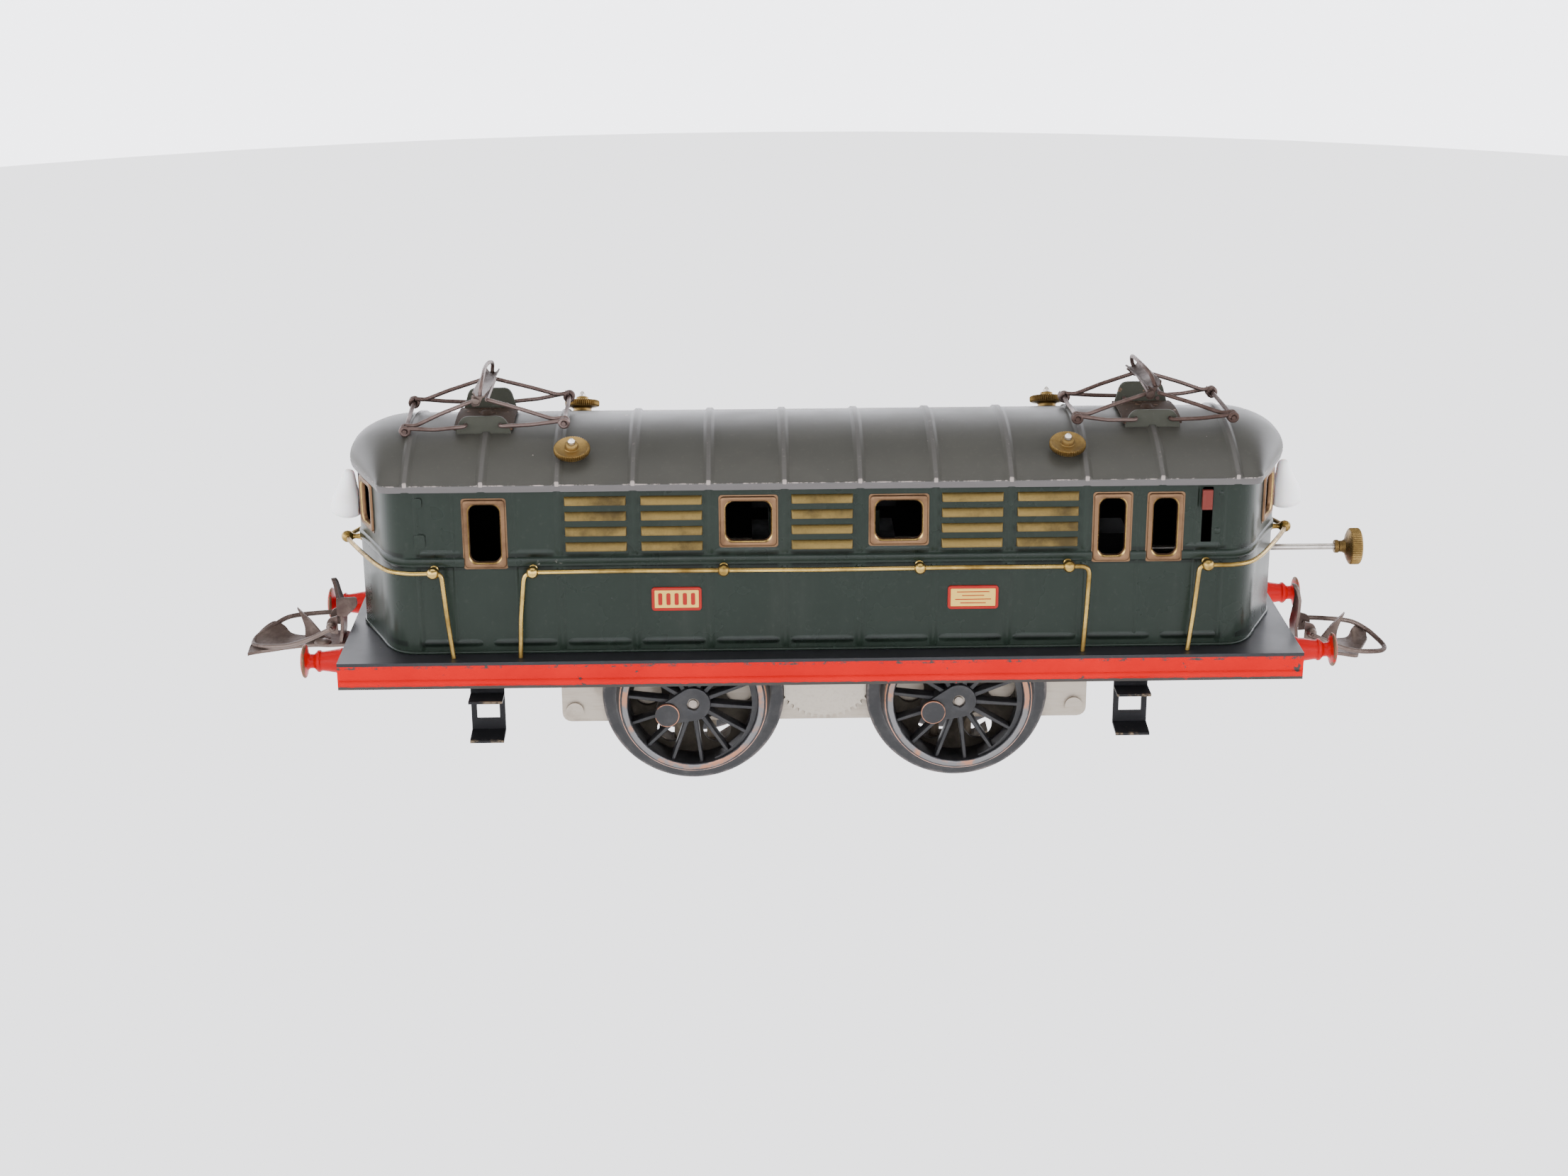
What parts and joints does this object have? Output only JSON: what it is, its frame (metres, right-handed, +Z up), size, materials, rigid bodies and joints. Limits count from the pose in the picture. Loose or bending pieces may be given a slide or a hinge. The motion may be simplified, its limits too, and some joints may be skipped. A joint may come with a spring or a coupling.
{
  "type": "model electric locomotive",
  "caption": "Toy-scale electric locomotive with body, roof pantographs, spoked driving wheels, geared motor, hook-and-loop couplers, buffers and hand rails.",
  "frame": {"origin": "middle of the deck in plan, on the plane the lowest points of the wheel flanges touch", "axes": "+X along the locomotive towards the end with the reversing knob, +Z up, -Y is the side with the red lever"},
  "size_m": [0.2784, 0.0668, 0.1003],
  "materials": {
    "deck_black": "satin, worn",
    "skirt_red": "gloss, chipped",
    "body_green": "gloss, worn",
    "roof_grey": "satin, worn",
    "window_brass": "polished",
    "louvre_gold": "satin gold",
    "rail_brass": "polished",
    "plate_enamel": "gloss",
    "lamp_white": "frosted",
    "nut_brass": "aged",
    "iron_brown": "oxidised",
    "plate_tin": "tinned",
    "stamped_iron": "oxidised",
    "coil_cotton": "varnished cotton covering",
    "steel": "ground",
    "gear_brass": "cut",
    "wheel_iron": "painted black, worn rims",
    "fibre_board": "pressed fibre",
    "lever_red": "satin"
  },
  "bodies": {
    "loco_frame": {"deck_plate": "deck_black", "skirt_frame": "skirt_red", "body_shell": "body_green", "roof_shell": "roof_grey", "side_window_frames": "window_brass", "end_window_frames": "window_brass", "louvre_slats": "louvre_gold", "number_plates": "plate_enamel", "main_handrails": "rail_brass", "corner_handrails": "rail_brass", "buffers_right": "skirt_red", "buffers_left": "skirt_red", "footsteps": "deck_black", "headlamp_right": "lamp_white", "headlamp_left": "lamp_white", "roof_studs": "steel", "motor_plate_near": "plate_tin", "motor_plate_far": "plate_tin", "plate_spacers": "steel", "field_magnet": "stamped_iron", "field_coil": "coil_cotton", "brush_holders": "gear_brass", "pickup_plate": "fibre_board", "reverser_box": "fibre_board", "coupler_pins": "steel", "panto_base_left": "body_green", "panto_base_right": "body_green"},
    "wheelset_1": {"axle_1": "steel", "axle_gear_1": "gear_brass", "wheel_near_1": "wheel_iron", "wheel_far_1": "wheel_iron"},
    "wheelset_2": {"axle_2": "steel", "axle_gear_2": "gear_brass", "wheel_near_2": "wheel_iron", "wheel_far_2": "wheel_iron"},
    "idler": {"idler_gear": "gear_brass"},
    "armature_rotor": {"armature": "stamped_iron"},
    "nut_left_near": {"thumb_nut_left_near": "nut_brass"},
    "nut_left_far": {"thumb_nut_left_far": "nut_brass"},
    "nut_right_near": {"thumb_nut_right_near": "nut_brass"},
    "nut_right_far": {"thumb_nut_right_far": "nut_brass"},
    "panto_lower_a_left": {"panto_lower_a_left": "iron_brown"},
    "panto_lower_b_left": {"panto_lower_b_left": "iron_brown"},
    "panto_upper_a_left": {"panto_upper_a_left": "iron_brown"},
    "panto_upper_b_left": {"panto_upper_b_left": "iron_brown"},
    "panto_head_left": {"panto_shoe_left": "iron_brown"},
    "panto_lower_a_right": {"panto_lower_a_right": "iron_brown"},
    "panto_lower_b_right": {"panto_lower_b_right": "iron_brown"},
    "panto_upper_a_right": {"panto_upper_a_right": "iron_brown"},
    "panto_upper_b_right": {"panto_upper_b_right": "iron_brown"},
    "panto_head_right": {"panto_shoe_right": "iron_brown"},
    "reverser": {"reverser_rod": "steel", "reverser_knob": "nut_brass"},
    "lever": {"slot_lever": "lever_red"},
    "hook_left": {"coupler_hook_left": "iron_brown"},
    "loop_left": {"coupler_loop_left": "iron_brown"},
    "hook_right": {"coupler_hook_right": "iron_brown"},
    "loop_right": {"coupler_loop_right": "iron_brown"},
    "shoe_1": {"pickup_shoe_1": "steel"},
    "shoe_2": {"pickup_shoe_2": "steel"}
  },
  "joints": [
    {"name": "wheelset_1_spin", "type": "hinge", "parent": "loco_frame", "child": "wheelset_1", "pos_m": [-0.0302, 0, 0.0217], "axis": [0, 1, 0], "continuous": true},
    {"name": "wheelset_2_spin", "type": "hinge", "parent": "loco_frame", "child": "wheelset_2", "pos_m": [0.0328, 0, 0.0217], "axis": [0, 1, 0], "continuous": true},
    {"name": "idler_spin", "type": "hinge", "parent": "loco_frame", "child": "idler", "pos_m": [0.0013, 0, 0.02734], "axis": [0, 1, 0], "continuous": true},
    {"name": "armature_spin", "type": "hinge", "parent": "loco_frame", "child": "armature_rotor", "pos_m": [0.0013, 0, 0.04283], "axis": [0, 1, 0], "continuous": true},
    {"name": "nut_left_near_turn", "type": "hinge", "parent": "loco_frame", "child": "nut_left_near", "pos_m": [-0.0568, -0.0193, 0.08226], "axis": [0, -0.3829, 0.9238], "continuous": true},
    {"name": "nut_left_far_turn", "type": "hinge", "parent": "loco_frame", "child": "nut_left_far", "pos_m": [-0.0568, 0.0193, 0.08226], "axis": [0, 0.3829, 0.9238], "continuous": true},
    {"name": "nut_right_near_turn", "type": "hinge", "parent": "loco_frame", "child": "nut_right_near", "pos_m": [0.0568, -0.0193, 0.08226], "axis": [0, -0.3829, 0.9238], "continuous": true},
    {"name": "nut_right_far_turn", "type": "hinge", "parent": "loco_frame", "child": "nut_right_far", "pos_m": [0.0568, 0.0193, 0.08226], "axis": [0, 0.3829, 0.9238], "continuous": true},
    {"name": "panto_raise_left", "type": "hinge", "parent": "loco_frame", "child": "panto_lower_a_left", "pos_m": [-0.082, 0, 0.0873], "axis": [0, 1, 0], "range_deg": [0, 40]},
    {"name": "panto_lower_b_hinge_left", "type": "hinge", "parent": "loco_frame", "child": "panto_lower_b_left", "pos_m": [-0.074, 0, 0.0873], "axis": [0, 1, 0], "range_deg": [-40, 0]},
    {"name": "panto_upper_a_hinge_left", "type": "hinge", "parent": "panto_lower_a_left", "child": "panto_upper_a_left", "pos_m": [-0.0965, 0, 0.0877], "axis": [0, 1, 0], "range_deg": [-63.21, 0]},
    {"name": "panto_upper_b_hinge_left", "type": "hinge", "parent": "panto_lower_b_left", "child": "panto_upper_b_left", "pos_m": [-0.0595, 0, 0.0877], "axis": [0, 1, 0], "range_deg": [0, 63.21]},
    {"name": "panto_head_hinge_left", "type": "hinge", "parent": "panto_upper_a_left", "child": "panto_head_left", "pos_m": [-0.0792, 0, 0.0934], "axis": [0, 1, 0], "range_deg": [0, 23.21]},
    {"name": "panto_raise_right", "type": "hinge", "parent": "loco_frame", "child": "panto_lower_a_right", "pos_m": [0.074, 0, 0.0873], "axis": [0, 1, 0], "range_deg": [0, 40]},
    {"name": "panto_lower_b_hinge_right", "type": "hinge", "parent": "loco_frame", "child": "panto_lower_b_right", "pos_m": [0.082, 0, 0.0873], "axis": [0, 1, 0], "range_deg": [-40, 0]},
    {"name": "panto_upper_a_hinge_right", "type": "hinge", "parent": "panto_lower_a_right", "child": "panto_upper_a_right", "pos_m": [0.0595, 0, 0.0877], "axis": [0, 1, 0], "range_deg": [-63.21, 0]},
    {"name": "panto_upper_b_hinge_right", "type": "hinge", "parent": "panto_lower_b_right", "child": "panto_upper_b_right", "pos_m": [0.0965, 0, 0.0877], "axis": [0, 1, 0], "range_deg": [0, 63.21]},
    {"name": "panto_head_hinge_right", "type": "hinge", "parent": "panto_upper_a_right", "child": "panto_head_right", "pos_m": [0.0768, 0, 0.0934], "axis": [0, 1, 0], "range_deg": [0, 23.21]},
    {"name": "reverser_push", "type": "slide", "parent": "loco_frame", "child": "reverser", "axis": [1, 0, 0], "range_m": [-0.01, 0]},
    {"name": "lever_swing", "type": "hinge", "parent": "loco_frame", "child": "lever", "pos_m": [0.0887, -0.015, 0.069], "axis": [1, 0, 0], "range_deg": [0, 25]},
    {"name": "hook_swing_left", "type": "hinge", "parent": "loco_frame", "child": "hook_left", "pos_m": [-0.105, 0.006, 0.0288], "axis": [0, 0, 1], "range_deg": [-10, 10]},
    {"name": "loop_lift_left", "type": "hinge", "parent": "hook_left", "child": "loop_left", "pos_m": [-0.1184, 0.006, 0.0338], "axis": [0, 1, 0], "range_deg": [0, 70]},
    {"name": "hook_swing_right", "type": "hinge", "parent": "loco_frame", "child": "hook_right", "pos_m": [0.105, -0.006, 0.0288], "axis": [0, 0, 1], "range_deg": [-10, 10]},
    {"name": "loop_lift_right", "type": "hinge", "parent": "hook_right", "child": "loop_right", "pos_m": [0.1184, -0.006, 0.0338], "axis": [0, -1, 0], "range_deg": [0, 44]},
    {"name": "shoe_1_travel", "type": "slide", "parent": "loco_frame", "child": "shoe_1", "axis": [0, 0, 1], "range_m": [0, 0.0015], "stiffness_N_per_m": 40, "springref_m": -0.004},
    {"name": "shoe_2_travel", "type": "slide", "parent": "loco_frame", "child": "shoe_2", "axis": [0, 0, 1], "range_m": [0, 0.0015], "stiffness_N_per_m": 40, "springref_m": -0.004}
  ],
  "couplings": [
    {"joint": "wheelset_2_spin", "follows": "wheelset_1_spin", "ratio": 1},
    {"joint": "idler_spin", "follows": "wheelset_1_spin", "ratio": -1.56},
    {"joint": "armature_spin", "follows": "wheelset_1_spin", "ratio": 6.5},
    {"joint": "panto_lower_b_hinge_left", "follows": "panto_raise_left", "ratio": -1},
    {"joint": "panto_upper_a_hinge_left", "follows": "panto_raise_left", "ratio": -1.58},
    {"joint": "panto_upper_b_hinge_left", "follows": "panto_raise_left", "ratio": 1.58},
    {"joint": "panto_head_hinge_left", "follows": "panto_raise_left", "ratio": 0.58},
    {"joint": "panto_lower_b_hinge_right", "follows": "panto_raise_right", "ratio": -1},
    {"joint": "panto_upper_a_hinge_right", "follows": "panto_raise_right", "ratio": -1.58},
    {"joint": "panto_upper_b_hinge_right", "follows": "panto_raise_right", "ratio": 1.58},
    {"joint": "panto_head_hinge_right", "follows": "panto_raise_right", "ratio": 0.58}
  ]
}
